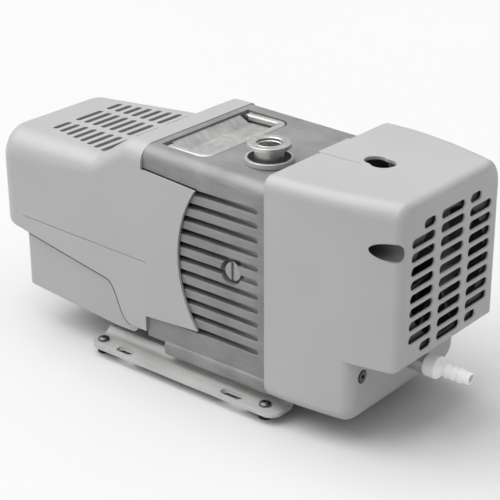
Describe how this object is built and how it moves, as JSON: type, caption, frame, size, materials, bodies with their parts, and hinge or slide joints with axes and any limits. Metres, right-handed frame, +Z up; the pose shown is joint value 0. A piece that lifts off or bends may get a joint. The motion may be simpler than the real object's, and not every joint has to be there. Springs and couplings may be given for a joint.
{
  "type": "dry scroll vacuum pump",
  "caption": "Compact air-cooled dry scroll vacuum pump: finned housing with flanged inlet and folding handle, motor cowl, fan shroud with grille, exhaust hose barb and footed base.",
  "frame": {"origin": "middle of the overall length, on the pump's centre plane, at the bottom of the rubber feet", "axes": "+X towards the fan shroud and exhaust barb, +Y to the side away from the inlet, +Z up"},
  "size_m": [0.3804, 0.145, 0.181],
  "materials": {
    "cowl_plastic": "light neutral grey moulded plastic, fine satin",
    "shroud_plastic": "light neutral grey moulded plastic, fine satin",
    "tray_plastic": "light neutral grey moulded plastic, fine satin",
    "housing_aluminium": "machined casting, brushed along X",
    "base_aluminium": "folded sheet, brushed",
    "handle_metal": "polished bar",
    "machined_aluminium": "machined bright",
    "steel": "zinc plated or ground steel",
    "motor_paint": "dark grey enamel",
    "copper": "lacquered copper windings",
    "foot_rubber": "black rubber",
    "seal_plastic": "filled PTFE",
    "black_plastic": "black moulded plastic",
    "rocker_plastic": "glossy black rocker",
    "barb_plastic": "white translucent plastic"
  },
  "bodies": {
    "pump_body": {"motor_cowl": "cowl_plastic", "fan_shroud": "shroud_plastic", "electronics_tray": "tray_plastic", "pump_housing": "housing_aluminium", "base_plate": "base_aluminium", "inlet_flange": "machined_aluminium", "fixed_scroll": "machined_aluminium", "motor_flange": "machined_aluminium", "motor_end_bell": "machined_aluminium", "motor_controller": "machined_aluminium", "exhaust_elbow": "machined_aluminium", "foot_screw_1": "steel", "foot_screw_2": "steel", "foot_screw_3": "steel", "foot_screw_4": "steel", "shroud_screw_1": "steel", "shroud_screw_2": "steel", "shroud_screw_3": "steel", "shroud_screw_4": "steel", "shroud_pillar_1": "steel", "shroud_pillar_2": "steel", "shroud_pillar_3": "steel", "shroud_pillar_4": "steel", "scroll_bolt_1": "steel", "scroll_bolt_2": "steel", "scroll_bolt_3": "steel", "scroll_bolt_4": "steel", "side_port_plug": "steel", "inlet_screen": "steel", "handle_pin_1": "steel", "handle_pin_2": "steel", "main_bearing": "steel", "rear_bearing": "steel", "stator_core": "steel", "motor_can": "motor_paint", "stator_winding_left": "copper", "stator_winding_right": "copper", "rubber_foot_1": "foot_rubber", "rubber_foot_2": "foot_rubber", "rubber_foot_3": "foot_rubber", "rubber_foot_4": "foot_rubber", "tip_seal_fixed": "seal_plastic", "motor_capacitor": "black_plastic", "power_inlet": "black_plastic", "switch_bezel": "black_plastic", "cooling_fan_frame": "black_plastic", "hose_barb": "barb_plastic"},
    "crank": {"crankshaft": "steel", "counterweight": "steel", "motor_rotor": "steel", "motor_fan": "black_plastic"},
    "orbiting": {"orbiting_scroll": "machined_aluminium", "tip_seal_orbiting": "seal_plastic", "crank_bearing": "steel"},
    "fan_rotor": {"fan_impeller": "black_plastic"},
    "handle": {"carry_handle": "handle_metal"},
    "rocker": {"power_switch": "rocker_plastic"}
  },
  "joints": [
    {"name": "crankshaft_spin", "type": "hinge", "parent": "pump_body", "child": "crank", "pos_m": [0, 0, 0.098], "axis": [1, 0, 0], "continuous": true},
    {"name": "scroll_orbit", "type": "hinge", "parent": "crank", "child": "orbiting", "pos_m": [0.04475, 0.0032, 0.098], "axis": [1, 0, 0], "continuous": true},
    {"name": "cooling_fan_spin", "type": "hinge", "parent": "pump_body", "child": "fan_rotor", "pos_m": [0.15475, 0, 0.1165], "axis": [1, 0, 0], "continuous": true},
    {"name": "handle_fold", "type": "hinge", "parent": "pump_body", "child": "handle", "pos_m": [-0.03195, 0, 0.1659], "axis": [0, -1, 0], "range_deg": [0, 90]},
    {"name": "switch_rock", "type": "hinge", "parent": "pump_body", "child": "rocker", "pos_m": [-0.16355, 0.014, 0.046], "axis": [0, -1, 0], "range_deg": [0, 18]}
  ],
  "couplings": [
    {"joint": "scroll_orbit", "follows": "crankshaft_spin", "ratio": -1}
  ]
}
